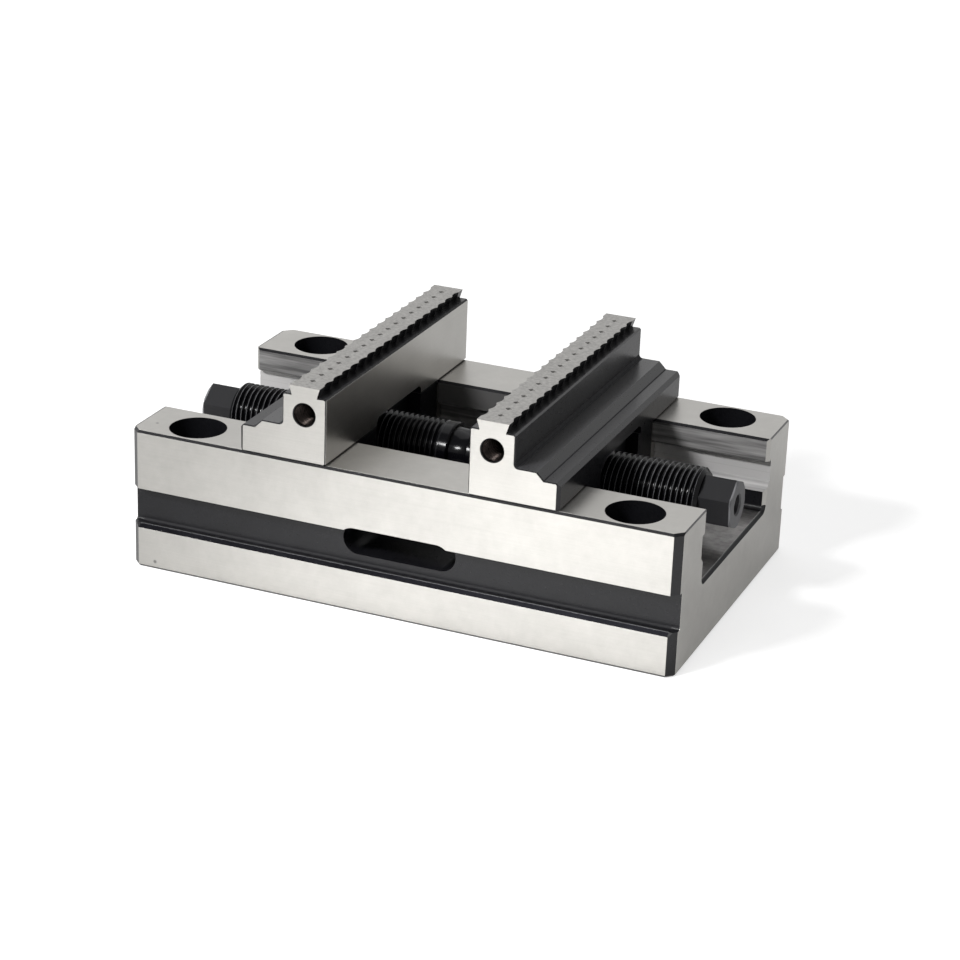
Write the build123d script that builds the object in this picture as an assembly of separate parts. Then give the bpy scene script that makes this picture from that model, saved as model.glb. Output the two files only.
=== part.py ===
from build123d import *
import os
from math import atan2, cos, degrees, sin

# Self-centering vise, in millimetres, +Z up.
# The origin is the centre of the body's underside. X runs along the lead screw and -Y is the front.
# Opposite threads on the one screw draw both jaws to the middle.

# Body
body_length = 150.0
body_width = 90.0
body_height = 38.2
corner_chamfer = 2.0
top_chamfer = 0.65
bottom_chamfer = 0.6

# Guide channel between the two rails: depths are taken down from the body's ground top
rail_width = 19.2
channel_depth = 19.9
channel_end_chamfer = 0.9
floor_corner_radius = 1.5
lip_height = 6.4
guide_groove_height = 6.1
guide_groove_depth = 2.4

# Grooves and windows in the long sides
side_groove_bottom = 11.05
side_groove_height = 11.05
side_groove_depth = 3.2
side_groove_bevel = 1.0
side_groove_radius = 0.8
window_length = 31.0
window_height = 8.4
window_centre_height = 18.85

# Counterbored mounting holes
hole_end_distance = 15.0
hole_side_distance = 8.8
bolt_bore = 9.0
bolt_counterbore = 15.0
bolt_counterbore_depth = 14.0

# Locating bores in the underside
locating_bore = 12.0
locating_bore_depth = 10.0
locating_bore_spacing = 100.0
locating_rim_chamfer = 0.5

# Jaws: heights are taken up from the jaw's seat on the rails
jaw_opening = 38.8
jaw_end_setback = 0.0
jaw_depth = 24.0
column_thickness = 12.0
column_height = 17.75
upper_step_height = 9.25
lower_step_height = 7.25
upper_step_depth = 5.8
column_foot_radius = 1.0
column_edge_chamfer = 0.4
outer_edge_chamfer = 1.0
outer_corner_chamfer = 0.9
seat_edge_chamfer = 0.4
end_edge_chamfer = 0.3

# Serrated gripper head
neck_width = 7.0
head_width = 8.5
head_height = 2.4
tooth_pitch = 5.0
notch_radius = 4.5
notch_depth = 0.6
end_land = 5.0
pit_across_corners = 1.8
pit_depth = 0.5

# Tapped stop hole in each end of a column
stop_hole_diameter = 6.0
stop_hole_mouth = 6.5
stop_hole_depth = 12.0
stop_hole_height = 12.65

# Jaw underside: slot for the nut, and legs that run in the guide grooves
nut_slot_width = 28.0
nut_slot_height = 2.55
nut_slot_radius = 1.8
leg_setback = 0.6
leg_floor_gap = 2.5
leg_edge_chamfer = 0.5

# Lead nuts
nut_length = 16.0
nut_centre_depth = 12.0
nut_floor_gap = 0.5
nut_edge_chamfer = 1.0
nut_top_chamfer = 1.8
nut_key_width = 8.0
nut_key_height = 2.4
nut_dowel_diameter = 5.0
nut_dowel_length = 16.0
nut_dowel_spacing = 21.0
nut_dowel_depth = 8.0
nut_dowel_reach = 7.0

# Lead screw
screw_drop = 8.7
thread_diameter = 16.0
thread_end_chamfer = 1.0
screw_neck_diameter = 13.4
screw_neck_width = 5.2
hex_across_flats = 12.0
hex_length = 8.7
hex_chamfer = 0.8
hex_chamfer_length = 0.4
hex_turn = 53.4
centre_hole_mouth = 6.0
centre_hole_core = 2.5
centre_hole_depth = 5.0

# Centre fork
fork_thickness = 5.0
fork_width = 24.0
fork_foot_length = 34.0
fork_foot_thickness = 6.8
fork_pocket_depth = 7.0
fork_corner_chamfer = 3.0
fork_pocket_radius = 3.0
fork_edge_chamfer = 0.5
fork_fastener_spacing_x = 22.0
fork_dowel_spacing_y = 14.0
fork_screw_diameter = 4.0
fork_screw_length = 8.0
fork_screw_hole_depth = 6.5
fork_screw_head = 7.0
fork_screw_head_height = 4.0
fork_head_recess_depth = 4.2
fork_head_socket = 3.0
fork_head_socket_depth = 2.0
fork_dowel_diameter = 4.0
fork_dowel_length = 10.0
fork_dowel_reach = 4.6

# Clearances
running_fit = 0.05
slide_fit = 0.05
guide_side_gap = 0.3
nut_fit = 0.05
pocket_fit = 0.05
head_recess_gap = 0.3
overcut = 1.0

# Places worked out from the sizes above
channel_width = body_width - 2 * rail_width
jaw_width = body_width - 2 * jaw_end_setback
floor_height = body_height - channel_depth
lip_underside = body_height - lip_height
groove_underside = lip_underside - guide_groove_height
channel_half = channel_width / 2
groove_half = channel_half + guide_groove_depth
screw_height = body_height - screw_drop
seat_height = body_height + slide_fit
face_distance = jaw_opening / 2
column_middle = column_thickness / 2
hole_spacing_x = body_length - 2 * hole_end_distance
hole_row_spacing = body_width - 2 * hole_side_distance
screw_neck_half = screw_neck_width / 2
hex_start = body_length / 2 - hex_length
pocket_ceiling = fork_pocket_depth


def turned(points):
    """Solid turned about Z from a half outline in radius and height."""
    return revolve(Plane.XZ * make_face(Polyline(*points, close=True)), Axis.Z)


def along_x(outline, start, end):
    """A face drawn in Y and Z, extruded along X from start to end."""
    return extrude(Plane.YZ.offset(start) * outline, amount=end - start)


def along_y(outline, width):
    """A face drawn in X and Z, extruded along Y to both sides of the middle."""
    return extrude(Plane.XZ * outline, amount=width / 2, both=True)


def both_sides(half_outline):
    """A half outline in Y and Z joined to its mirror image."""
    half = make_face(Polyline(*half_outline, close=True))
    return half + mirror(half, about=Plane.YZ)


def standing(radius, height):
    """Cylinder standing on z = 0."""
    return Cylinder(radius, height, align=(Align.CENTER, Align.CENTER, Align.MIN))


def hanging(radius, depth):
    """Cylinder that runs down from z = 0, started a little above it."""
    return Pos(0, 0, -depth) * standing(radius, depth + overcut)


def rim(radius, width):
    """Conical cut that bevels a hole's mouth at z = 0, opening upwards."""
    return Cone(radius, radius + width, width, align=(Align.CENTER, Align.CENTER, Align.MAX))


def body_bar():
    """The body's cross-section along its whole length."""
    half = body_width / 2
    groove_wall = half - side_groove_depth
    ledge = side_groove_bottom + side_groove_bevel
    section = both_sides([
        (0, 0),
        (half, 0),
        (half, side_groove_bottom),
        (half - side_groove_bevel, ledge),
        (groove_wall, ledge),
        (groove_wall, side_groove_bottom + side_groove_height),
        (half, side_groove_bottom + side_groove_height),
        (half, body_height),
        (channel_half, body_height),
        (channel_half, lip_underside),
        (groove_half, lip_underside),
        (groove_half, groove_underside),
        (channel_half, groove_underside - guide_groove_depth),
        (channel_half, floor_height),
        (0, floor_height),
    ])
    floor_corners = section.vertices().filter_by(
        lambda v: abs(abs(v.X) - channel_half) < 0.01 and abs(v.Y - floor_height) < 0.01)
    section = fillet(floor_corners, floor_corner_radius)
    groove_corners = section.vertices().filter_by(
        lambda v: abs(abs(v.X) - groove_wall) < 0.01 and abs(v.Y - ledge) < 0.01)
    section = fillet(groove_corners, side_groove_radius)
    return along_x(section, -body_length / 2, body_length / 2)


def base_body():
    corners = Rectangle(body_length, body_width).vertices()
    plan = extrude(chamfer(corners, corner_chamfer), amount=body_height)
    body = body_bar() & plan
    channel_ends = body.edges().filter_by(Axis.Z).filter_by(
        lambda e: abs(abs(e.center().X) - body_length / 2) < 0.01
        and abs(abs(e.center().Y) - channel_half) < 0.01)
    body = chamfer(channel_ends, channel_end_chamfer)
    body = chamfer(body.edges().filter_by_position(Axis.Z, body_height, body_height), top_chamfer)
    body = chamfer(body.edges().filter_by_position(Axis.Z, 0, 0), bottom_chamfer)

    window = extrude(Plane.XZ * SlotOverall(window_length, window_height), amount=body_width, both=True)
    body -= Pos(0, 0, window_centre_height) * window

    mounting_hole = (hanging(bolt_bore / 2, body_height + overcut)
                     + hanging(bolt_counterbore / 2, bolt_counterbore_depth))
    for place in GridLocations(hole_spacing_x, hole_row_spacing, 2, 2):
        body -= Pos(0, 0, body_height) * place * mounting_hole

    bore = hanging(locating_bore / 2, locating_bore_depth) + rim(locating_bore / 2, locating_rim_chamfer)
    for place in GridLocations(locating_bore_spacing, 1, 2, 1):
        body -= place * Rot(180, 0, 0) * bore

    pocket = RectangleRounded(fork_foot_length + 2 * pocket_fit, fork_width + 2 * pocket_fit,
                              fork_pocket_radius)
    body -= extrude(pocket, amount=pocket_ceiling)
    body -= extrude(Rectangle(fork_thickness + 2 * pocket_fit, fork_width + 2 * pocket_fit),
                    amount=floor_height + overcut)
    tapped = standing(fork_screw_diameter / 2, fork_screw_hole_depth)
    for place in fork_screw_places():
        body -= Pos(0, 0, pocket_ceiling) * place * tapped
    for dowel in fork_dowel_solids():
        body -= dowel
    return body


def fork_screw_places():
    """One screw each side of the blade, in line with the lead screw."""
    return GridLocations(fork_fastener_spacing_x, 1, 2, 1)


def fork_dowel_solids():
    """Two dowels on the foot's diagonal, half in the foot and half in the body."""
    bottom = pocket_ceiling + fork_dowel_reach - fork_dowel_length
    dowel = standing(fork_dowel_diameter / 2, fork_dowel_length)
    return [Pos(side * fork_fastener_spacing_x / 2, side * fork_dowel_spacing_y / 2, bottom) * dowel
            for side in (-1, 1)]


def centre_fork():
    """Foot plate in the underside's pocket, with a saddle blade up to the screw's axis."""
    foot_outline = chamfer(Rectangle(fork_foot_length, fork_width).vertices(), fork_corner_chamfer)
    underside = pocket_ceiling - fork_foot_thickness
    foot = Pos(0, 0, underside) * extrude(foot_outline, amount=fork_foot_thickness)
    foot = chamfer(foot.edges().group_by(Axis.Z)[0], fork_edge_chamfer)
    blade = Pos(0, 0, pocket_ceiling) * Box(
        fork_thickness, fork_width, screw_height - pocket_ceiling,
        align=(Align.CENTER, Align.CENTER, Align.MIN))
    blade = chamfer(blade.edges().filter_by(Axis.X).group_by(Axis.Z)[-1], fork_edge_chamfer)
    saddle = Pos(0, 0, screw_height) * Rot(0, 90, 0) * Cylinder(
        screw_neck_diameter / 2 + running_fit, fork_thickness + overcut)
    fork = foot + blade - saddle
    screw_hole = (hanging(fork_screw_diameter / 2 + head_recess_gap, fork_foot_thickness + overcut)
                  + hanging(fork_screw_head / 2 + head_recess_gap, fork_head_recess_depth))
    for place in fork_screw_places():
        fork -= Pos(0, 0, underside) * place * Rot(180, 0, 0) * screw_hole
    for dowel in fork_dowel_solids():
        fork -= dowel
    return fork


def cap_screw():
    """Socket cap screw, head down, its head's bearing face at z = 0."""
    head = Pos(0, 0, -fork_screw_head_height) * standing(fork_screw_head / 2, fork_screw_head_height)
    socket = extrude(RegularPolygon(fork_head_socket / 2, 6, major_radius=False),
                     amount=fork_head_socket_depth)
    shank = standing(fork_screw_diameter / 2, fork_screw_length)
    return head - Pos(0, 0, -fork_screw_head_height) * socket + shank


def fork_screws():
    bearing = pocket_ceiling - fork_foot_thickness + fork_head_recess_depth
    return Compound(children=[Pos(0, 0, bearing) * place * cap_screw() for place in fork_screw_places()])


def fork_dowels():
    return Compound(children=fork_dowel_solids())


def jaw_block():
    """Stepped block above the seat: clamping face at x = 0, seat at z = 0."""
    ramp_end = column_thickness + upper_step_depth + upper_step_height - lower_step_height
    outline = make_face(Polyline(
        (seat_edge_chamfer, 0),
        (jaw_depth - seat_edge_chamfer, 0),
        (jaw_depth, seat_edge_chamfer),
        (jaw_depth, lower_step_height - outer_edge_chamfer),
        (jaw_depth - outer_edge_chamfer, lower_step_height),
        (ramp_end, lower_step_height),
        (column_thickness + upper_step_depth, upper_step_height),
        (column_thickness, upper_step_height),
        (column_thickness, column_height - column_edge_chamfer),
        (column_thickness - column_edge_chamfer, column_height),
        (column_edge_chamfer, column_height),
        (0, column_height - column_edge_chamfer),
        (0, seat_edge_chamfer),
        close=True,
    ))
    foot_corner = outline.vertices().filter_by(
        lambda v: abs(v.X - column_thickness) < 0.01 and abs(v.Y - upper_step_height) < 0.01)
    outline = fillet(foot_corner, column_foot_radius)
    block = along_y(outline, jaw_width - 2 * end_edge_chamfer)
    for end in (0, -1):
        end_face = block.faces().sort_by(Axis.Y)[end]
        block += extrude(end_face, amount=end_edge_chamfer, taper=45)
    plan = Pos(jaw_depth / 2, 0, 0) * Rectangle(jaw_depth, jaw_width)
    outer_corners = plan.vertices().filter_by(lambda v: v.X > jaw_depth / 2)
    return block & extrude(chamfer(outer_corners, outer_corner_chamfer), amount=column_height)


def notch_places():
    """Y places of the notches: a whole number of pitches between the two end lands."""
    count = int((jaw_width - 2 * end_land) / tooth_pitch + 0.01) + 1
    return [(i - (count - 1) / 2) * tooth_pitch for i in range(count)]


def four_sided_pit():
    """Punched pit: a pyramid with its point down and its corners along X and Y, mouth at z = 0."""
    mouth = Rot(0, 0, 45) * Rectangle(pit_across_corners / 2 ** 0.5, pit_across_corners / 2 ** 0.5)
    return Pos(0, 0, -pit_depth) * loft([Pos(0, 0, pit_depth) * mouth, Vertex(0, 0, 0)])


def gripper_head():
    """Bar that widens upwards from its neck, with rounded notches down both flanks.
    The neck starts as deep as the column's end edges are bevelled, so that the end faces meet flush."""
    neck_root = column_height - end_edge_chamfer
    outline = make_face(Polyline(
        (column_middle - neck_width / 2, neck_root),
        (column_middle + neck_width / 2, neck_root),
        (column_middle + neck_width / 2, column_height),
        (column_middle + head_width / 2, column_height + head_height),
        (column_middle - head_width / 2, column_height + head_height),
        (column_middle - neck_width / 2, column_height),
        close=True,
    ))
    head = along_y(outline, jaw_width)
    lean = atan2((head_width - neck_width) / 2, head_height)
    stand_off = notch_radius - notch_depth
    flank_middle = (head_width + neck_width) / 4 + stand_off * cos(lean)
    middle_height = column_height + head_height / 2
    cutter = Cylinder(notch_radius, head_height + 4 * overcut)
    pit = four_sided_pit()
    cuts = []
    for y in notch_places():
        for side in (-1, 1):
            x = column_middle + side * flank_middle
            cuts.append(Pos(x, y, middle_height - stand_off * sin(lean))
                        * Rot(0, side * degrees(lean), 0) * cutter)
        cuts.append(Pos(column_middle, y, column_height + head_height) * pit)
    return head - cuts


def stop_hole():
    """Tapped hole with its mouth at z = 0, running down, at the thread's outer diameter."""
    return (hanging(stop_hole_diameter / 2, stop_hole_depth)
            + rim(stop_hole_diameter / 2, (stop_hole_mouth - stop_hole_diameter) / 2))


def jaw_legs():
    """Two legs with guide flanges, drawn below the seat at z = 0."""
    leg_half = channel_half - guide_side_gap
    flange_half = groove_half - guide_side_gap
    flange_top = lip_underside - slide_fit - seat_height
    flank_gap = guide_side_gap * (2 ** 0.5 - 1)
    flank_top = groove_underside + flank_gap - seat_height
    foot = floor_height + leg_floor_gap - seat_height
    leg = make_face(Polyline(
        (nut_slot_width / 2, nut_slot_height),
        (nut_slot_width / 2, foot),
        (leg_half, foot),
        (leg_half, flank_top - guide_groove_depth),
        (flange_half, flank_top),
        (flange_half, flange_top),
        (leg_half, flange_top),
        (leg_half, nut_slot_height),
        close=True,
    ))
    foot_corners = leg.vertices().filter_by(lambda v: abs(v.Y - foot) < 0.01)
    leg = chamfer(foot_corners, leg_edge_chamfer)
    return along_x(leg + mirror(leg, about=Plane.YZ), 0, jaw_depth - leg_setback)


def nut_slot():
    """Slot through the jaw above the seat, with its cross groove for the nut's key."""
    slot = Rectangle(nut_slot_width, 2 * nut_slot_height)
    slot = fillet(slot.vertices().group_by(Axis.Y)[-1], nut_slot_radius)
    slot = along_x(slot, -overcut, jaw_depth + overcut)
    key_groove = Pos(nut_centre_depth, 0, nut_slot_height + nut_key_height / 2) * Box(
        nut_key_width + 2 * nut_fit, nut_slot_width - 2 * nut_slot_radius, nut_key_height)
    return slot + key_groove


def nut_dowel_solids():
    """Two dowels that stand in the nut and reach up into the jaw, in jaw coordinates."""
    dowel = standing(nut_dowel_diameter / 2, nut_dowel_length)
    top = nut_slot_height + nut_key_height + nut_dowel_reach
    return [Pos(nut_dowel_depth, side * nut_dowel_spacing / 2, top - nut_dowel_length) * dowel
            for side in (-1, 1)]


def jaw():
    """Right jaw in its own coordinates: clamping face at x = 0, seat at z = 0."""
    solid = jaw_block() + gripper_head() - nut_slot() + jaw_legs()
    for side in (-1, 1):
        mouth = Pos(column_middle, side * jaw_width / 2, stop_hole_height) * Rot(-side * 90, 0, 0)
        solid -= mouth * stop_hole()
    for dowel in nut_dowel_solids():
        solid -= dowel
    return solid


def lead_nut():
    """Threaded block that fills the jaw's slot, in jaw coordinates."""
    half = nut_slot_width / 2 - nut_fit
    bottom = floor_height + nut_floor_gap - seat_height
    block = Rectangle(2 * half, nut_slot_height - bottom)
    block = Pos(0, (nut_slot_height + bottom) / 2) * block
    block = chamfer(block.vertices().group_by(Axis.Y)[-1], nut_top_chamfer)
    block = chamfer(block.vertices().group_by(Axis.Y)[0], nut_edge_chamfer)
    start = nut_centre_depth - nut_length / 2
    nut = along_x(block, start, start + nut_length)
    key_width = nut_slot_width - 2 * nut_slot_radius - 2 * nut_fit
    nut += Pos(nut_centre_depth, 0, nut_slot_height) * Box(
        nut_key_width, key_width, nut_key_height, align=(Align.CENTER, Align.CENTER, Align.MIN))
    bore = Cylinder(thread_diameter / 2 + running_fit, nut_length + 2 * overcut)
    nut -= Pos(nut_centre_depth, 0, screw_height - seat_height) * Rot(0, 90, 0) * bore
    for dowel in nut_dowel_solids():
        nut -= dowel
    return nut


def lead_screw():
    """Round bar with a neck in the middle and a hexagon with a centre hole at each end."""
    radius = thread_diameter / 2
    neck = screw_neck_diameter / 2
    half = turned([
        (0, 0),
        (neck, 0),
        (neck, screw_neck_half),
        (radius, screw_neck_half),
        (radius, hex_start - thread_end_chamfer),
        (radius - thread_end_chamfer, hex_start),
        (0, hex_start),
    ])
    hexagon = RegularPolygon(hex_across_flats / 2, 6, major_radius=False, rotation=hex_turn)
    corner = hex_across_flats / 3 ** 0.5
    tip = hex_start + hex_length
    dome = turned([
        (0, hex_start),
        (corner, hex_start),
        (corner, tip - hex_chamfer_length),
        (corner - hex_chamfer, tip),
        (0, tip),
    ])
    cone_depth = (centre_hole_mouth - centre_hole_core) / 2 * 3 ** 0.5
    centre_hole = turned([
        (0, tip + overcut),
        (centre_hole_mouth / 2, tip + overcut),
        (centre_hole_mouth / 2, tip),
        (centre_hole_core / 2, tip - cone_depth),
        (centre_hole_core / 2, tip - centre_hole_depth),
        (0, tip - centre_hole_depth),
    ])
    turn_to_x = Rot(0, 90, 0)
    drive = along_x(hexagon, hex_start, tip) & (turn_to_x * dome)
    right = turn_to_x * half + drive - turn_to_x * centre_hole
    screw = right + mirror(right, about=Plane.YZ)
    return Pos(0, 0, screw_height) * screw


def right_side(solid):
    """From jaw coordinates to the right jaw's place on the body."""
    return Pos(face_distance, 0, seat_height) * solid


def left_side(solid):
    """The mirror image of the right side."""
    return mirror(right_side(solid), about=Plane.YZ)


def main():
    jaw_solid = jaw()
    nut_solid = lead_nut()
    dowels = nut_dowel_solids()
    nodes = {
        "base_body": base_body(),
        "centre_fork": centre_fork(),
        "fork_screws": fork_screws(),
        "fork_dowels": fork_dowels(),
        "lead_screw": lead_screw(),
        "right_jaw": right_side(jaw_solid),
        "right_lead_nut": right_side(nut_solid),
        "right_nut_dowels": Compound(children=[right_side(dowel) for dowel in dowels]),
        "left_jaw": left_side(jaw_solid),
        "left_lead_nut": left_side(nut_solid),
        "left_nut_dowels": Compound(children=[left_side(dowel) for dowel in dowels]),
    }
    os.makedirs("parts", exist_ok=True)
    for name, solid in nodes.items():
        export_step(solid, f"parts/{name}.step")


main()
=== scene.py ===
import math

import bmesh
import bpy
import numpy as np
from mathutils import Matrix, Vector


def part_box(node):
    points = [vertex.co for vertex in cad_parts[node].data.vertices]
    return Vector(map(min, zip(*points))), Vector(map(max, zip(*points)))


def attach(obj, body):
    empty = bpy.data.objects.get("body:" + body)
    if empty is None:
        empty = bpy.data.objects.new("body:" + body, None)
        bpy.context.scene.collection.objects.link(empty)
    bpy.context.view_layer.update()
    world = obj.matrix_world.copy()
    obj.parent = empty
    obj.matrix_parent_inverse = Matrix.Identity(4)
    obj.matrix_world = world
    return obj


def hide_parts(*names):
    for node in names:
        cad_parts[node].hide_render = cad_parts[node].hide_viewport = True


# Self-centering vise on a pale floor. +Z is up, X runs along the lead screw, and the front faces -Y.
# Places and sizes on the vise are in millimetres. Those of the floor and the lamps are in metres.

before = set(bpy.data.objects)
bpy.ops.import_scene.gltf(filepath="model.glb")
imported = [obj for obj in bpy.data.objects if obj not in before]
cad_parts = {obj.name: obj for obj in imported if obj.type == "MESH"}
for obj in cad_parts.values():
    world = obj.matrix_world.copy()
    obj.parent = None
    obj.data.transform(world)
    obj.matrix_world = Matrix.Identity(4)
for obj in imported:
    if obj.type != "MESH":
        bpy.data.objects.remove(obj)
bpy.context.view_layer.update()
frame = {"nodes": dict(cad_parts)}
nodes = frame["nodes"]
MM = 0.001


def corners(node):
    """Lowest and highest corner of a CAD node, in millimetres to the nearest micrometre."""
    return [[round(place / MM, 3) for place in corner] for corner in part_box(node)]


_, body_high = corners("base_body")
jaw_low, jaw_high = corners("right_jaw")
screw_low, screw_high = corners("lead_screw")

# Body. The vise is the same on both sides of its middle, so places along X and Y are distances from there.
BODY_END, BODY_SIDE, BODY_TOP = body_high
BODY_CORNER = 2.0
TOP_BEVEL = 0.65
FOOT_BEVEL = 0.6

# Guide channel between the body's rails
RAIL_WIDTH = 19.2
CHANNEL_DEPTH = 19.9
CHANNEL_END_BEVEL = 0.9
FLOOR_CORNER = 1.4
LIP_HEIGHT = 6.4
GUIDE_HEIGHT = 6.1
GUIDE_DEPTH = 2.4
CHANNEL_SIDE = BODY_SIDE - RAIL_WIDTH
FLOOR_TOP = BODY_TOP - CHANNEL_DEPTH
LIP_UNDERSIDE = BODY_TOP - LIP_HEIGHT
GROOVE_BACK = CHANNEL_SIDE + GUIDE_DEPTH
GROOVE_UNDERSIDE = LIP_UNDERSIDE - GUIDE_HEIGHT
FLANK_FOOT = GROOVE_UNDERSIDE - GUIDE_DEPTH

# Grooves in the body's long sides
SIDE_GROOVE_BOTTOM = 11.05
SIDE_GROOVE_DEPTH = 3.2
SIDE_GROOVE_BEVEL = 1.0
SIDE_GROOVE_FILLET = 0.8
SIDE_WALL = BODY_SIDE - SIDE_GROOVE_DEPTH
SIDE_LEDGE = SIDE_GROOVE_BOTTOM + SIDE_GROOVE_BEVEL
SIDE_LEDGE_EDGE = BODY_SIDE - SIDE_GROOVE_BEVEL

# Jaws
SLIDE_FIT = 0.05
COLUMN_THICKNESS = 12.0
COLUMN_HEIGHT = 17.75
COLUMN_BEVEL = 0.4
COLUMN_FOOT = 1.0
UPPER_STEP_HEIGHT = 9.25
UPPER_STEP_DEPTH = 5.8
RAMP_DROP = 2.0
LEG_SIDE = 25.0
JAW_FACE = jaw_low[0]
HEAD_TOP = jaw_high[2]
HEAD_MIDDLE = JAW_FACE + COLUMN_THICKNESS / 2
JAW_SEAT = BODY_TOP + SLIDE_FIT
COLUMN_TOP = JAW_SEAT + COLUMN_HEIGHT
COLUMN_BACK = JAW_FACE + COLUMN_THICKNESS
UPPER_STEP = JAW_SEAT + UPPER_STEP_HEIGHT
RAMP_FOOT = COLUMN_BACK + UPPER_STEP_DEPTH + RAMP_DROP

# Lead screw
SCREW_HEIGHT = (screw_low[2] + screw_high[2]) / 2
THREAD_RADIUS = screw_high[1]
THREAD_PITCH = 1.5
THREAD_DEPTH = 0.92
THREAD_FADE = 0.9
NECK_RADIUS = 6.7
NECK_HALF = 2.6
NECK_ROUND = 0.1
COLLAR_ROUND = 0.35
COLLAR_END = 5.2
HEX_TIP = screw_high[0]
HEX_LENGTH = 8.7
HEX_FLAT = 6.0
HEX_TURN = 53.4
TIP_LENGTH = 0.8
TIP_CONE_LENGTH = 0.5
TIP_CONE_SLOPE = 1.6
TIP_ROWS = 9
CENTRE_MOUTH = 3.0
CENTRE_CORE = 1.25
CENTRE_CONE = 3.03
CENTRE_DEPTH = 5.0
END_BEVEL = 1.0
THREAD_END = HEX_TIP - HEX_LENGTH

# Angles of the points round the screw, from one corner of the hexagon
SIDES = 72
AROUND = math.radians(HEX_TURN) + np.arange(SIDES) * 2 * math.pi / SIDES

# Tapped stop holes in the jaws' ends. Their threads run from one depth below the end face to another.
STOP_HEIGHT = JAW_SEAT + 12.65
STOP_RADIUS = 3.0
STOP_PITCH = 1.0
STOP_THREAD_DEPTH = 0.58
STOP_THREAD_FADE = 0.8
STOP_START = 0.3
STOP_END = 11.6
STOP_ROOT = STOP_RADIUS - 0.02
STOP_SLEEVE = STOP_RADIUS + 0.05
STOP_SIDES = 36

# One pitch of a metric thread: share of the pitch, share of the depth. The crest is a tenth of the pitch wide
# and the root a fifth, both rounded into flanks that lean about 30 degrees.
THREAD_PROFILE = np.array([
    (0.0, 0.0), (0.14, 0.03), (0.19, 0.12), (0.465, 0.93), (0.50, 1.0),
    (0.60, 1.0), (0.635, 0.93), (0.91, 0.12), (0.96, 0.03), (1.0, 0.0),
])

# Welding, in metres, and the turn in degrees past which an edge stays sharp
SAME_POINT = 1e-6
NO_LENGTH = 1e-7
SHARP_DEGREES = 32


# Shapes


def skin(grid, around=True):
    """Quads between neighbours of a grid of points, rows by columns.
    Around joins the last column to the first."""
    rows, columns = grid.shape[:2]
    spans = columns if around else columns - 1
    row, column = np.meshgrid(np.arange(rows - 1), np.arange(spans), indexing="ij")
    beside = (column + 1) % columns
    start, above = row * columns, (row + 1) * columns
    quads = np.stack((start + column, start + beside, above + beside, above + column), axis=-1)
    return grid.reshape(-1, 3), quads.reshape(-1, 4)


def mirrored(skins):
    """The same skins on the other side of the middle."""
    return [(points * (-1, 1, 1), quads) for points, quads in skins]


def weld(mesh):
    """Merges points closer than a micrometre and turns every face outwards."""
    work = bmesh.new()
    work.from_mesh(mesh)
    bmesh.ops.remove_doubles(work, verts=work.verts, dist=SAME_POINT)
    bmesh.ops.dissolve_degenerate(work, edges=work.edges, dist=NO_LENGTH)
    bmesh.ops.recalc_face_normals(work, faces=work.faces)
    work.to_mesh(mesh)
    work.free()


def piece(name, skins, body, finish):
    """Joins several skins into one mesh with its faces outwards, and makes it ride on its body."""
    points = np.concatenate([s[0] for s in skins]) * MM
    shifts = np.cumsum([0] + [len(s[0]) for s in skins[:-1]])
    quads = np.concatenate([s[1] + shift for s, shift in zip(skins, shifts)])
    mesh = bpy.data.meshes.new(name)
    mesh.vertices.add(len(points))
    mesh.vertices.foreach_set("co", points.ravel())
    mesh.loops.add(quads.size)
    mesh.loops.foreach_set("vertex_index", quads.ravel())
    mesh.polygons.add(len(quads))
    mesh.polygons.foreach_set("loop_start", np.arange(0, quads.size, 4))
    mesh.update(calc_edges=True)
    mesh.validate()
    weld(mesh)
    mesh.shade_smooth()
    mesh.set_sharp_from_angle(angle=math.radians(SHARP_DEGREES))
    mesh.materials.append(finish)
    made = bpy.data.objects.new(name, mesh)
    bpy.context.scene.collection.objects.link(made)
    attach(made, body)
    return made


def along_screw(x, radius, turn):
    """Point at x along the screw's axis: y = radius * sin(turn), z = height + radius * cos(turn)."""
    y = radius * np.sin(turn)
    z = SCREW_HEIGHT + radius * np.cos(turn)
    return np.stack(np.broadcast_arrays(x, y, z), axis=-1)


def turned(profile):
    """Surface of revolution about the screw's axis: each row is one (x, radius) of the profile."""
    x, radius = np.array(profile, float).T[:, :, None]
    return skin(along_screw(x, radius, AROUND[None, :]))


def flat_ring(x, first, last):
    """Flat face across the screw at x, between two radii. Each is one number, or one for every angle."""
    radius = np.stack([np.broadcast_to(r, SIDES) for r in (first, last)])
    return skin(along_screw(np.full((2, 1), x), radius, AROUND[None, :]))


def helix(start, end, pitch, fade, sides=SIDES):
    """Thread wound about an axis. At turn t, the profile's point p stands at x = start + pitch * (t - 1 + p),
    held between start and end. Returns x, the ridge's height there as a share of the depth, the share of the
    depth that is cut, which falls to nothing over the fade at both ends, and the angle."""
    along, height = THREAD_PROFILE.T[:, None, :]
    turns = math.ceil((end - start) / pitch) + 2
    t = (np.arange(turns * sides + 1) / sides)[:, None]
    x = start + pitch * (t - 1 + along)
    share = np.clip(np.minimum((x - start) / fade, (end - x) / fade), 0, 1)
    return np.clip(x, start, end), height, share, math.radians(HEX_TURN) + 2 * math.pi * t


def threaded_rod():
    """The helix as a skin on the screw's axis, from the collar to the bevel at the hexagon."""
    x, height, share, turn = helix(COLLAR_END, THREAD_END - END_BEVEL, THREAD_PITCH, THREAD_FADE)
    return skin(along_screw(x, THREAD_RADIUS - THREAD_DEPTH * (1 - height) * share, turn), around=False)


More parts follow.
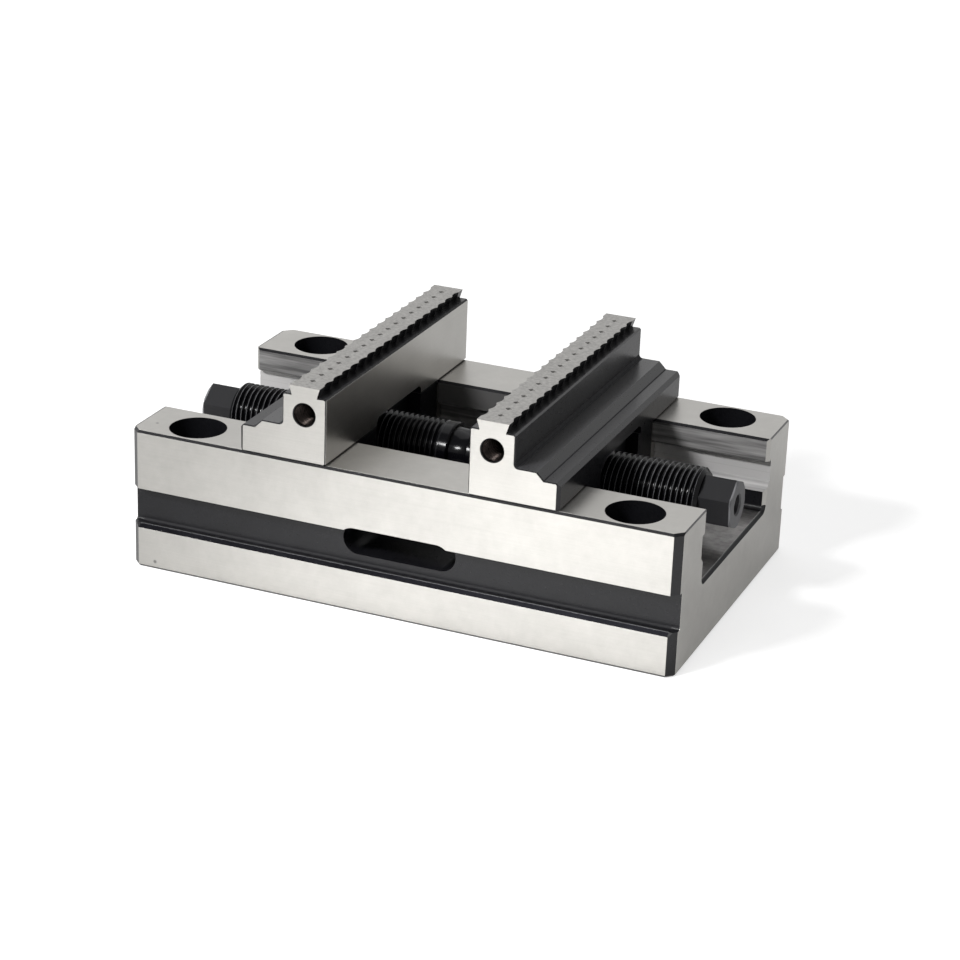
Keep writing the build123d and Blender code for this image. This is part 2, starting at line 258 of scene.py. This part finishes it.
def hexagon_end():
    """Hexagon whose radius at an angle is flat / cos(angle from the flat's middle), cut by a cone at the tip,
    then the centre hole as a cone and a bore, and the step from the thread's end to the hexagon."""
    off_flat = (AROUND - math.radians(HEX_TURN)) % (math.pi / 3) - math.pi / 6
    flat = HEX_FLAT / np.cos(off_flat)
    corner = HEX_FLAT / math.cos(math.pi / 6)
    x = np.append(THREAD_END, np.linspace(HEX_TIP - TIP_LENGTH, HEX_TIP, TIP_ROWS))
    cone = corner - np.maximum(x - (HEX_TIP - TIP_CONE_LENGTH), 0) * TIP_CONE_SLOPE
    radius = np.minimum(flat[None, :], cone[:, None])
    return [
        skin(along_screw(x[:, None], radius, AROUND[None, :])),
        flat_ring(HEX_TIP, radius[-1], CENTRE_MOUTH),
        turned([
            (HEX_TIP, CENTRE_MOUTH),
            (HEX_TIP - CENTRE_CONE, CENTRE_CORE),
            (HEX_TIP - CENTRE_DEPTH, CENTRE_CORE),
            (HEX_TIP - CENTRE_DEPTH, 0),
        ]),
        flat_ring(THREAD_END, THREAD_RADIUS - END_BEVEL, radius[0]),
    ]


def neck_and_collar():
    """Neck in the middle of the screw, with a rounded corner up to the collar that the thread starts from."""
    return turned([
        (0, NECK_RADIUS),
        (NECK_HALF - COLLAR_ROUND, NECK_RADIUS),
        (NECK_HALF - NECK_ROUND, NECK_RADIUS + NECK_ROUND),
        (NECK_HALF, NECK_RADIUS + COLLAR_ROUND),
        (NECK_HALF, THREAD_RADIUS - COLLAR_ROUND),
        (NECK_HALF + COLLAR_ROUND, THREAD_RADIUS),
        (COLLAR_END, THREAD_RADIUS),
    ])


def lead_screw(finish):
    """One half of the screw and its mirror image, which has the opposite thread."""
    end_bevel = turned([(THREAD_END - END_BEVEL, THREAD_RADIUS), (THREAD_END, THREAD_RADIUS - END_BEVEL)])
    half = [neck_and_collar(), end_bevel, *hexagon_end(), threaded_rod()]
    made = piece("screw_threaded", half + mirrored(half), "screw", finish)
    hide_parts("lead_screw")
    return made


def in_stop_hole(jaw_side, end, depth, radius, turn):
    """Point in a stop hole: x = middle + radius * sin(turn), y = the depth below the jaw's end face, and
    z = height + radius * cos(turn)."""
    x = jaw_side * HEAD_MIDDLE + radius * np.sin(turn)
    y = end * (BODY_SIDE - depth)
    z = STOP_HEIGHT + radius * np.cos(turn)
    return np.stack(np.broadcast_arrays(x, y, z), axis=-1)


def stop_threads(name, jaw_side, body, finish):
    """Thread cut in the two stop holes of a jaw: the helix points inwards, and a plain sleeve, sunk a little
    into the steel, closes it behind."""
    depth, height, share, turn = helix(STOP_START, STOP_END, STOP_PITCH, STOP_THREAD_FADE, STOP_SIDES)
    thread = STOP_ROOT - STOP_THREAD_DEPTH * height * share
    sleeve_depth = np.array([STOP_START, STOP_START, STOP_END, STOP_END])[:, None]
    sleeve = np.array([STOP_ROOT, STOP_SLEEVE, STOP_SLEEVE, STOP_ROOT])[:, None]
    around = AROUND[None, :: SIDES // STOP_SIDES]
    skins = []
    for end in (-1, 1):
        skins.append(skin(in_stop_hole(jaw_side, end, depth, thread, turn), around=False))
        skins.append(skin(in_stop_hole(jaw_side, end, sleeve_depth, sleeve, around)))
    return piece(name, skins, body, finish)


# Finishes

# How near to a flat face a point counts as on it, a wider touch, a hair's breadth past an edge, and room
# round a small form
ON_FACE = 0.03
NEAR_FACE = 0.05
HAIR = 0.02
MARGIN = 0.1

DEEP_OXIDE = (0.002, 0.002, 0.003)
OXIDE = (0.004, 0.004, 0.005)
OXIDE_LIGHT = (0.014, 0.014, 0.017)
STEEL = (0.50, 0.49, 0.465)
STEEL_SHADE = (0.41, 0.40, 0.38)
MILLED = (0.60, 0.59, 0.585)
MILLED_SHADE = (0.12, 0.118, 0.118)
HEAD_STEEL = (0.37, 0.36, 0.345)
HEAD_SHADE = (0.22, 0.215, 0.205)
# Light grey of rubbed edges, also used for painted highlights on the jaws and the side groove's ledge
RUBBED_AND_LIT_EDGE = (0.16, 0.16, 0.165)
RUBBED_SCREW = (0.24, 0.24, 0.25)
# Near black of the tapped stop-hole threads: painted shade deep in the holes
TAPPED_IN_SHADE = (0.003, 0.003, 0.003)
TAPPED_IN_SHADE_LIGHT = (0.024, 0.019, 0.017)

# Grinding marks: how fast the noise changes along a mark and across it, and the marks' height in millimetres
ALONG_MARK = 0.03
ACROSS_MARK = 5.0
MARK_HEIGHT = 0.004

# Body: dark strip along the top edge at each end, rubbed strip below the top, bevel at the channel floor's
# end, rubbed strip on the side groove's ledge painted lighter as a highlight line, dark seams in the guide,
# and where painted shade on the guide begins, growing towards the middle
END_EDGE_DEPTH = 0.25
END_EDGE_HEIGHT = 0.45
RUBBED_STRIP = 0.08
FLOOR_BEVEL = 0.7
LEDGE_STRIP = 0.35
LIP_SEAM = LIP_UNDERSIDE + 0.1
LIP_SEAM_BLUR = (0.1, 0.35)
GROOVE_SEAM = GROOVE_UNDERSIDE + 2.4
GROOVE_SEAM_BLUR = (0.05, 0.3)
GUIDE_PAINTED_SHADE = (46, 30)

# Small round test marks: the one on the top at X and Y, the one on the front at X and Z, their radii, and
# the core of each as a share of its radius
TOP_MARK = (-70.9, -38.1)
TOP_MARK_RADIUS = 0.6
FRONT_MARK = (-68.2, 2.2)
FRONT_MARK_RADIUS = 0.7
MARK_CORE = 0.3

# Jaws: black margins at the clamping face's foot and head, where the legs' guide faces start below the seat,
# how far the head's pits reach aside and down, and the oily seam along the ramp's foot
FACE_FOOT = 0.3
FACE_HEAD = 0.35
BELOW_SEAT = 1.0
PIT_HALF = 0.6
PIT_REACH = 1.5
OILY_SEAM_REACH = 0.3
OILY_SEAM_BLUR = (0.08, 0.22)

# Lead screw: rubbed crests, lighter towards the ends and darker towards the middle as painted shade, and
# rubbed rims of the hexagon and centre hole
CREST_DEPTH = 0.1
CREST_WEAR_AND_SHADE = (-5, 45)
RIM_LENGTH = 0.45
RIM_WIDTH = 0.8
MOUTH_LENGTH = 0.5
MOUTH_WIDTH = 0.25


class Signal:
    """A value that varies over a surface. Arithmetic on signals adds Math nodes to their tree."""

    def __init__(self, nodes, socket):
        self.nodes = nodes
        self.socket = socket

    def _math(self, operation, *terms):
        return self.nodes.node("ShaderNodeMath", {"operation": operation}, dict(enumerate(terms)))

    def __add__(self, other):
        return self._math("ADD", self, other)

    __radd__ = __add__

    def __sub__(self, other):
        return self._math("SUBTRACT", self, other)

    def __rsub__(self, other):
        return self._math("SUBTRACT", other, self)

    def __mul__(self, other):
        return self._math("MULTIPLY", self, other)

    __rmul__ = __mul__

    def __abs__(self):
        return self._math("ABSOLUTE", self)

    def __gt__(self, other):
        return self._math("GREATER_THAN", self, other)

    def __lt__(self, other):
        return self._math("LESS_THAN", self, other)

    def __and__(self, other):
        return self._math("MULTIPLY", self, other)

    __rand__ = __and__

    def __or__(self, other):
        return self._math("MAXIMUM", self, other)

    __ror__ = __or__

    def between(self, low, high):
        """1 where the signal lies between two values."""
        return (self > low) & (self < high)

    def near(self, value, half_width=ON_FACE):
        """1 where the signal is within half_width of the value."""
        return self._math("COMPARE", self, value, half_width)

    def root(self):
        return self._math("SQRT", self)

    def ramp(self, start, end):
        """Smooth step: 0 at the start, 1 at the end, level beyond both. The start may be the larger."""
        return self.nodes.node("ShaderNodeMapRange", {"interpolation_type": "SMOOTHSTEP"},
                               {"Value": self, "From Min": start, "From Max": end}, output="Result")

    def beside(self, output):
        """Another output of the node that this signal comes from."""
        return Signal(self.nodes, self.socket.node.outputs[output])


class Nodes:
    """A node tree, and the one method that adds a node to it."""

    def __init__(self, tree):
        self.tree = tree

    def node(self, kind, settings=None, sockets=None, output=0):
        """Adds a node: its settings, then the values or links of its sockets. Returns one output as a
        signal."""
        made = self.tree.nodes.new(kind)
        for name, value in (settings or {}).items():
            setattr(made, name, value)
        for name, value in (sockets or {}).items():
            if isinstance(value, Signal):
                self.tree.links.new(value.socket, made.inputs[name])
            else:
                made.inputs[name].default_value = value
        return None if output is None else Signal(self, made.outputs[output])

    def rays(self):
        """Two masks: rays straight from the camera, and rays that metal or glass has turned aside."""
        camera_ray = self.node("ShaderNodeLightPath", output="Is Camera Ray")
        return camera_ray, camera_ray.beside("Is Glossy Ray") | camera_ray.beside("Is Transmission Ray")


class Finish(Nodes):
    """A procedural material. Coordinates are millimetres on the object."""

    def __init__(self, name, **constants):
        self.material = bpy.data.materials.new(name)
        self.material.use_nodes = True
        super().__init__(self.material.node_tree)
        self.shader = self.tree.nodes["Principled BSDF"]
        for socket, value in constants.items():
            self.shader.inputs[socket.replace("_", " ")].default_value = value
        place = self.node("ShaderNodeTexCoord", output="Object")
        self.place = self.node("ShaderNodeVectorMath", {"operation": "SCALE"},
                               {"Vector": place, "Scale": 1 / MM}, output="Vector")
        self.x = self.node("ShaderNodeSeparateXYZ", {}, {"Vector": self.place}, output="X")
        self.y = self.x.beside("Y")
        self.z = self.x.beside("Z")

    def blend(self, mask, low, high):
        """Colour that goes from low to high with the mask. Low and high are colours or colour signals."""
        sockets = {0: mask}
        for number, colour in ((6, low), (7, high)):
            sockets[number] = colour if isinstance(colour, Signal) else (*colour, 1.0)
        return self.node("ShaderNodeMix", {"data_type": "RGBA"}, sockets, output=2)

    def noise(self, stretch, detail=3.0, roughness=0.5, shift=(0, 0, 0)):
        """Cloud noise about 0.5, on the object's millimetres times the stretch. The stretch is one number, or
        one for each axis."""
        scale = stretch if isinstance(stretch, tuple) else (stretch, stretch, stretch)
        moved = self.node("ShaderNodeMapping", {}, {"Vector": self.place, "Location": shift, "Scale": scale},
                          output="Vector")
        return self.node("ShaderNodeTexNoise", {"noise_dimensions": "3D"},
                         {"Vector": moved, "Scale": 1.0, "Detail": detail, "Roughness": roughness},
                         output="Fac")

    def feed(self, **signals):
        """Links signals to the shader's varying sockets."""
        for socket, signal in signals.items():
            self.tree.links.new(signal.socket, self.shader.inputs[socket.replace("_", " ")])
        return self.material

    def bump(self, height, distance):
        """Normal bent by a height signal whose full range is a distance in millimetres."""
        return self.node("ShaderNodeBump", {},
                         {"Strength": 1.0, "Distance": distance * MM, "Height": height}, output="Normal")


def ground_marks(finish, along_x, along_y):
    """Fine marks left by the grinding wheel: noise stretched along the way each face was ground. The masks
    are of the faces ground along X and along Y, and on all others the marks run level."""
    across_z = finish.noise((ALONG_MARK, ALONG_MARK, ACROSS_MARK), detail=4, roughness=0.6)
    across_y = finish.noise((ALONG_MARK, ACROSS_MARK, ALONG_MARK), detail=4, roughness=0.6)
    across_x = finish.noise((ACROSS_MARK, ALONG_MARK, ALONG_MARK), detail=4, roughness=0.6)
    return across_z * (1 - along_x - along_y) + across_y * along_x + across_x * along_y


def ground_and_black(finish, ground, bright, marks, rubbed_and_highlight, matt, metallic=None):
    """Ground steel of the bright colour where the mask is 1, black oxide where it is 0, worn lighter where
    rubbed and lighter too where a highlight is painted, and rougher where matt."""
    fine = finish.noise(1.6, detail=3, roughness=0.6, shift=(31, 7, 3))
    cloud = finish.noise(0.12, detail=4, roughness=0.6, shift=(5, 17, 9))
    oxide = finish.blend(cloud * 0.7 + fine * 0.5 - 0.2, OXIDE, OXIDE_LIGHT)
    worn_and_lit = finish.blend(rubbed_and_highlight * (0.35 + fine * 0.6), oxide, RUBBED_AND_LIT_EDGE)
    colour = finish.blend(ground, worn_and_lit, bright)
    ground_rough = 0.31 + marks * 0.1
    oxide_rough = 0.22 + fine * 0.16
    rough = ground * ground_rough + (1 - ground) * oxide_rough + matt
    height = ground * marks * 0.5 + fine * 0.5
    return finish.feed(Base_Color=colour, Metallic=metallic or ground, Roughness=rough,
                       Normal=finish.bump(height, MARK_HEIGHT))


def spot(across, along, middle, radius):
    """1 in the core of a small round mark, falling to 0 at its radius."""
    sideways, forwards = across - middle[0], along - middle[1]
    return (sideways * sideways + forwards * forwards).root().ramp(radius, radius * MARK_CORE)


def body_finish():
    """Surface-ground outside and guide faces, black oxide in the side grooves, bevels, windows and bores."""
    finish = Finish("body_ground_and_black", Specular_IOR_Level=0.3)
    x, y, z = abs(finish.x), abs(finish.y), finish.z

    top = z > BODY_TOP - ON_FACE
    ends = x > BODY_END - ON_FACE
    sides = y > BODY_SIDE - ON_FACE
    end_edge = (x > BODY_END - END_EDGE_DEPTH) & (z > BODY_TOP - END_EDGE_HEIGHT)
    outside = (top | ends | (sides & (z > FOOT_BEVEL + MARGIN)) | (z < ON_FACE)) & (1 - end_edge)

    land = y.near(CHANNEL_SIDE) & z.between(LIP_UNDERSIDE + HAIR, BODY_TOP - TOP_BEVEL)
    groove = y.near(GROOVE_BACK) & z.between(GROOVE_UNDERSIDE - HAIR, LIP_UNDERSIDE + HAIR)
    flank = (y - z).near(CHANNEL_SIDE - FLANK_FOOT) & y.between(CHANNEL_SIDE + HAIR, GROOVE_BACK)
    lip = z.near(LIP_UNDERSIDE) & y.between(CHANNEL_SIDE, GROOVE_BACK + MARGIN)
    guide = land | groove | flank | lip
    floor = z.near(FLOOR_TOP) & (y < CHANNEL_SIDE - FLOOR_CORNER)
    bevel_start = BODY_END - CHANNEL_END_BEVEL
    end_bevel = (x - y).near(bevel_start - CHANNEL_SIDE) & (x > bevel_start - NEAR_FACE)
    ground = outside | guide | floor | end_bevel

    marks = ground_marks(finish, top | floor, 0)
    cloud = finish.noise(0.09, detail=3)
    stain = finish.noise(0.35, detail=5, roughness=0.7, shift=(21, 3, 14))
    bands = finish.noise((0.04, 0.9, 0.9), detail=3, roughness=0.6, shift=(2, 4, 6))
    clean = cloud * 0.9 + marks * 0.8 + stain * 1.1 - 0.9
    off_seams = abs(z - LIP_SEAM).ramp(*LIP_SEAM_BLUR) * abs(z - GROOVE_SEAM).ramp(*GROOVE_SEAM_BLUR)
    tone = clean * (1 - guide) + (bands * 1.7 - 0.35) * guide * off_seams
    # Painted shade: the guide grows darker towards the middle, where the jaws shade it
    shade = x.ramp(*GUIDE_PAINTED_SHADE) * guide
    # Painted light and shade on the guide: the groove's back and the flank lighter, the land darker, and the
    # middle darker still
    milled_tone_light_and_shade = tone + groove * 0.9 + flank * 0.15 - land * 0.2 - shade * 1.2
    # Painted shade: the top faces are blended towards the darker steel
    plain = finish.blend(tone - top * 0.4, STEEL_SHADE, STEEL)
    milled = finish.blend(milled_tone_light_and_shade, MILLED_SHADE, MILLED)
    bright = finish.blend(floor | guide, plain, milled)
    top_mark = spot(finish.x, finish.y, TOP_MARK, TOP_MARK_RADIUS) & top
    front_mark = spot(finish.x, z, FRONT_MARK, FRONT_MARK_RADIUS) & (finish.y < 0) & sides
    bright = finish.blend((top_mark | front_mark) * 0.8, bright, MILLED_SHADE)

    in_groove = y.between(SIDE_WALL - MARGIN, BODY_SIDE - HAIR) & (x < BODY_END - BODY_CORNER - MARGIN)
    # The ledge's outer edge is a rubbed strip, painted lighter as a highlight line
    ledge_edge = in_groove & (y > SIDE_LEDGE_EDGE - LEDGE_STRIP) & z.near(SIDE_LEDGE, NEAR_FACE)
    ledge_bevel = in_groove & z.between(SIDE_LEDGE - SIDE_GROOVE_BEVEL - HAIR, SIDE_LEDGE - HAIR)
    fillet = (in_groove & (y < SIDE_WALL + SIDE_GROOVE_FILLET + HAIR)
              & z.between(SIDE_LEDGE - HAIR, SIDE_LEDGE + SIDE_GROOVE_FILLET + NEAR_FACE))
    floor_bevel = (x > BODY_END - FLOOR_BEVEL) & (y < CHANNEL_SIDE) & (z < FLOOR_TOP + MARGIN) & (1 - ends)
    top_strip = (z > BODY_TOP - RUBBED_STRIP) & (1 - top)
    return ground_and_black(
        finish, ground, bright, marks,
        rubbed_and_highlight=top_strip * 0.3 | ledge_edge,
        matt=floor_bevel * 0.4 | fillet * 0.35 | flank * 0.15,
        metallic=ground * (1 - guide * 0.88) | ledge_bevel)


def jaw_finish():
    """Ground ends, clamping face and head, with black oxide on the column's back, the steps and the toothed
    flanks."""
    finish = Finish("jaw_ground_and_black", Specular_IOR_Level=0.3)
    x, y, z = abs(finish.x), abs(finish.y), finish.z

    ends = y > BODY_SIDE - ON_FACE
    face = x.near(JAW_FACE) & z.between(JAW_SEAT + FACE_FOOT, COLUMN_TOP - FACE_HEAD)
    head = z > HEAD_TOP - ON_FACE
    seat = z.near(JAW_SEAT)
    guides = (z < JAW_SEAT - BELOW_SEAT) & (y > LEG_SIDE)
    pit = x.near(HEAD_MIDDLE, PIT_HALF) & (z > HEAD_TOP - PIT_REACH) & (1 - head) & (1 - ends)
    ground = ends | face | head | seat | guides | pit

    marks = ground_marks(finish, 0, head)
    cloud = finish.noise(0.09, detail=3)
    mottle = finish.noise(1.1, detail=4, roughness=0.7, shift=(12, 3, 8))
    plain = finish.blend(cloud + marks + mottle * 0.5 - 0.75, STEEL_SHADE, STEEL)
    punched = finish.blend((mottle * 3.0 - 1.0) * (1 - pit), HEAD_SHADE, HEAD_STEEL)
    bright = finish.blend(head | pit, plain, punched)

    column_edge = (x.between(COLUMN_BACK - COLUMN_BEVEL - HAIR, COLUMN_BACK + HAIR)
                   & z.between(COLUMN_TOP - COLUMN_BEVEL - HAIR, COLUMN_TOP - HAIR))
    column_foot = (x.between(COLUMN_BACK - HAIR, COLUMN_BACK + COLUMN_FOOT + MARGIN)
                   & (z < UPPER_STEP + COLUMN_FOOT + MARGIN))
    column_back = x.near(COLUMN_BACK, NEAR_FACE)
    upper_step = z.near(UPPER_STEP, NEAR_FACE) & (x > COLUMN_BACK)
    on_ramp = z > UPPER_STEP - RAMP_DROP - OILY_SEAM_REACH
    oily_seam = (1 - abs(x - RAMP_FOOT).ramp(*OILY_SEAM_BLUR)) * on_ramp
    shoulder = (x < JAW_FACE + COLUMN_BEVEL + HAIR) & (z > COLUMN_TOP - COLUMN_BEVEL - HAIR)
    return ground_and_black(
        finish, ground, bright, marks,
        # Painted highlights: the column's top edge, the upper step and, faintly, the column's back are
        # coloured lighter as if lit
        rubbed_and_highlight=column_edge * 0.45 | upper_step * 0.4 | column_back * 0.12,
        matt=(column_foot * 0.45 | oily_seam * 0.5 | shoulder * 0.3) * (1 - ground))


def oxide_finish(name, roughness):
    """Lightly oiled black oxide with faint clouds."""
    finish = Finish(name, Specular_IOR_Level=0.3)
    cloud = finish.noise(0.25, detail=4, roughness=0.6)
    fine = finish.noise(3.0, detail=3, roughness=0.6, shift=(3, 8, 1))
    colour = finish.blend(cloud * 0.6 + fine * 0.3, OXIDE, OXIDE_LIGHT)
    rough = roughness - 0.08 + cloud * 0.1 + fine * 0.08
    return finish.feed(Base_Color=colour, Roughness=rough, Normal=finish.bump(fine, 0.003))


def screw_finish():
    """Black oxide, oiled on the neck and collar, rubbed lighter on the thread's crests and at the hexagon's
    end. The crests' lightening fades towards the middle as painted shade."""
    finish = Finish("screw_black", Specular_IOR_Level=0.12)
    x, y, z = abs(finish.x), finish.y, finish.z - SCREW_HEIGHT
    radius = (y * y + z * z).root()
    cloud = finish.noise(0.3, detail=4, roughness=0.6)
    fine = finish.noise(2.5, detail=3, roughness=0.6, shift=(3, 8, 1))
    crest = (radius > THREAD_RADIUS - CREST_DEPTH) & x.between(COLLAR_END, THREAD_END)
    hexagon = x > THREAD_END
    end = x > HEX_TIP - HAIR
    rim = (x > HEX_TIP - RIM_LENGTH) & (radius > HEX_FLAT - RIM_WIDTH)
    mouth = (x > HEX_TIP - MOUTH_LENGTH) & (radius < CENTRE_MOUTH + MOUTH_WIDTH)
    wear_and_shade = crest * (0.1 + cloud * 0.6) * x.ramp(*CREST_WEAR_AND_SHADE) | end | rim | mouth | hexagon * 0.12
    colour = finish.blend(wear_and_shade, finish.blend(cloud, DEEP_OXIDE, OXIDE), RUBBED_SCREW)
    rough = 0.1 + hexagon * 0.22 + cloud * 0.06 + fine * 0.05 + end * 0.1
    return finish.feed(Base_Color=colour, Roughness=rough, Normal=finish.bump(fine, 0.002))


def pin_finish():
    """Ground and hardened pin: fine rings about its axis."""
    finish = Finish("pin_ground", Metallic=1.0)
    rings = finish.noise((0.05, 0.05, 6.0), detail=3)
    cloud = finish.noise(0.4, detail=3, shift=(9, 2, 4))
    colour = finish.blend(rings * 0.5 + cloud * 0.4, STEEL_SHADE, STEEL)
    return finish.feed(Base_Color=colour, Roughness=0.22 + rings * 0.1, Normal=finish.bump(rings, 0.002))


def stop_thread_finish():
    """Freshly tapped thread, oily, coloured near black as painted shade deep in the hole, with lighter
    clouds.
    """
    finish = Finish("tapped_thread_painted_dark", Metallic=1.0)
    cloud = finish.noise(1.5, detail=3)
    colour = finish.blend(cloud * 2 - 0.5, TAPPED_IN_SHADE, TAPPED_IN_SHADE_LIGHT)
    return finish.feed(Base_Color=colour, Roughness=0.22 + cloud * 0.15, Normal=finish.bump(cloud, 0.003))


# Studio

# Floor: its paint, its glow as the camera sees it near the vise and far off, and as the steel mirrors it. The
# glow
# is painted light and shade: dimmer near the vise than far off, and in reflections brighter before the front
FLOOR_HALF = 6.0
FLOOR_GAP = 0.00002
FLOOR_PAINT = (0.62, 0.62, 0.62)
FLOOR_GLOW = 0.70
FLOOR_GLOW_FAR = 0.85
MIRRORED_GLOW = 1.13
MIRRORED_GLOW_LEFT = 0.36
MIRRORED_GLOW_BEHIND = 0.34
MIRRORED_GLOW_FAR = 0.45

# Stretches of the floor over which a glow changes, from nothing to full: Y, X, or distance from the middle
FRONT_FLOOR = (-0.042, -0.052)
FAR_FLOOR = (0.10, 0.15)
LEFT_FLOOR = (-0.08, -0.11)
LEFT_TO_MIDDLE = (-0.11, -0.01)
AWAY_FLOOR = (0.12, 0.35)

# Surroundings: light that reaches the vise, and how bright and how high the ceiling is that the steel mirrors
SURROUND_LIGHT = 0.16
CEILING = 0.35
CEILING_EDGE = (0.5, 0.75)

# Camera, fitted to the photograph: degrees, then millimetres, then pixels of a picture PICTURE_WIDTH wide
AZIMUTH, ELEVATION, ROLL = 22.033, 22.297, 2.166
DISTANCE = 714.9
SHIFT_RIGHT = 4.018
SHIFT_UP = -2.683
AIM_HEIGHT = 25.0
SENSOR_WIDTH = 36.0
FOCUS = 2709.9
PICTURE_WIDTH = 960
NEAREST_SEEN = 0.01


def floor_finish():
    """Pale floor that keeps the object's shadow. A glow that only the camera and reflections see lifts it to
    white. The glow is painted light and shade: the camera sees it dimmer near the object than far off, and in
    reflections it is bright before the front, dim to the left, and weak behind the object's front, where the
    real floor lies in its shade."""
    material = bpy.data.materials.new("floor_pale")
    material.use_nodes = True
    shading = Nodes(material.node_tree)
    shading.tree.nodes.clear()
    camera_ray, mirrored_ray = shading.rays()
    place = shading.node("ShaderNodeTexCoord", output="Object")
    x = shading.node("ShaderNodeSeparateXYZ", {}, {"Vector": place}, output="X")
    y = x.beside("Y")

    # Painted light and shade in reflections: bright before the front, dim to the left and behind, a little
    # brighter far behind
    front_or_left = y.ramp(*FRONT_FLOOR) | x.ramp(*LEFT_FLOOR)
    lit_glow = MIRRORED_GLOW_LEFT + x.ramp(*LEFT_TO_MIDDLE) * (MIRRORED_GLOW - MIRRORED_GLOW_LEFT)
    mirrored_glow = (MIRRORED_GLOW_BEHIND + front_or_left * (lit_glow - MIRRORED_GLOW_BEHIND)
                     + y.ramp(*FAR_FLOOR) * (MIRRORED_GLOW_FAR - MIRRORED_GLOW_BEHIND))
    away = (x * x + y * y).root().ramp(*AWAY_FLOOR)
    # Painted shade round the vise: the camera sees the glow dimmer near it than far off
    seen_glow = FLOOR_GLOW + away * (FLOOR_GLOW_FAR - FLOOR_GLOW)
    glow = camera_ray * seen_glow | mirrored_ray * mirrored_glow

    paint = shading.node("ShaderNodeBsdfDiffuse", {}, {"Color": (*FLOOR_PAINT, 1)})
    lit = shading.node("ShaderNodeEmission", {}, {"Color": (1, 1, 1, 1), "Strength": glow})
    both = shading.node("ShaderNodeAddShader", {}, {0: paint, 1: lit})
    shading.node("ShaderNodeOutputMaterial", {}, {"Surface": both}, output=None)
    return material


def pale_floor():
    """Large level square just under the body."""
    half = FLOOR_HALF
    mesh = bpy.data.meshes.new("floor")
    mesh.from_pydata([(-half, -half, 0), (half, -half, 0), (half, half, 0), (-half, half, 0)], [],
                     [(0, 1, 2, 3)])
    mesh.materials.append(floor_finish())
    floor = bpy.data.objects.new("floor", mesh)
    floor.location.z = -FLOOR_GAP
    bpy.context.scene.collection.objects.link(floor)


def surroundings():
    """White world for the camera and reflections, with a darker ceiling in reflections and little light."""
    world = bpy.data.worlds.new("studio")
    bpy.context.scene.world = world
    world.use_nodes = True
    shading = Nodes(world.node_tree)
    camera_ray, mirrored_ray = shading.rays()
    direction = shading.node("ShaderNodeTexCoord", output="Generated")
    up = shading.node("ShaderNodeSeparateXYZ", {}, {"Vector": direction}, output="Z")
    mirrored_white = 1 - up.ramp(*CEILING_EDGE) * (1 - CEILING)
    strength = camera_ray | mirrored_ray * mirrored_white | SURROUND_LIGHT
    backdrop = shading.tree.nodes["Background"]
    backdrop.inputs["Color"].default_value = (1, 1, 1, 1)
    shading.tree.links.new(strength.socket, backdrop.inputs["Strength"])


def softbox(name, place, aim, size, power, spread=180):
    """Rectangular lamp at a place, turned to its aim, shining within a cone of so many degrees."""
    lamp = bpy.data.lights.new(name, "AREA")
    lamp.shape = "RECTANGLE"
    lamp.size, lamp.size_y = size
    lamp.energy = power
    lamp.spread = math.radians(spread)
    made = bpy.data.objects.new(name, lamp)
    made.location = place
    made.rotation_euler = (Vector(aim) - Vector(place)).to_track_quat("-Z", "Y").to_euler()
    made.visible_camera = False
    bpy.context.scene.collection.objects.link(made)


def studio():
    """Floor, surroundings and three lamps: a small key high at the front left, a faint one that shines down
    before the front side, and a broad one high behind the left end."""
    bpy.context.scene.view_settings.view_transform = "Standard"
    pale_floor()
    surroundings()
    softbox("key", place=(-0.235, -0.475, 0.44), aim=(0, 0, 0.03), size=(0.14, 0.07), power=3.6)
    softbox("front", place=(0.02, -0.15, 0.13), aim=(0.02, -0.15, 0), size=(0.10, 0.10), power=0.10,
            spread=100)
    softbox("top", place=(-0.36, 0.42, 0.95), aim=(0, 0, 0), size=(0.8, 0.8), power=2.6)


def camera():
    """Camera at its distance from a point above the origin, shifted sideways and up, and rolled."""
    azimuth, elevation, roll = (math.radians(angle) for angle in (AZIMUTH, ELEVATION, ROLL))
    level = math.cos(elevation)
    back = Vector((math.sin(azimuth) * level, -math.cos(azimuth) * level, math.sin(elevation)))
    right = Vector((math.cos(azimuth), math.sin(azimuth), 0))
    up = back.cross(right)
    aim = Vector((0, 0, AIM_HEIGHT))
    place = (back * DISTANCE + right * SHIFT_RIGHT + up * SHIFT_UP + aim) * MM
    turned_right = right * math.cos(roll) + up * math.sin(roll)
    turned_up = up * math.cos(roll) - right * math.sin(roll)
    lens = bpy.data.cameras.new("camera")
    lens.sensor_width = SENSOR_WIDTH
    lens.lens = FOCUS / PICTURE_WIDTH * SENSOR_WIDTH
    lens.clip_start = NEAREST_SEEN
    made = bpy.data.objects.new("camera", lens)
    axes = Matrix((turned_right, turned_up, back)).transposed().to_4x4()
    made.matrix_world = Matrix.Translation(place) @ axes
    bpy.context.scene.collection.objects.link(made)
    bpy.context.scene.camera = made


def dress(node, material):
    """Gives a CAD node its finish."""
    nodes[node].data.materials.clear()
    nodes[node].data.materials.append(material)


camera()
studio()

dress("base_body", body_finish())
jaw_steel = jaw_finish()
dress("left_jaw", jaw_steel)
dress("right_jaw", jaw_steel)
black_steel = oxide_finish("nut_and_fork_black", roughness=0.34)
for node in ("centre_fork", "left_lead_nut", "right_lead_nut"):
    dress(node, black_steel)
dress("fork_screws", oxide_finish("socket_screw_black", roughness=0.42))
pins = pin_finish()
for node in ("fork_dowels", "left_nut_dowels", "right_nut_dowels"):
    dress(node, pins)

lead_screw(screw_finish())
tapped = stop_thread_finish()
stop_threads("stop_threads_left", -1, "left_slider", tapped)
stop_threads("stop_threads_right", 1, "right_slider", tapped)
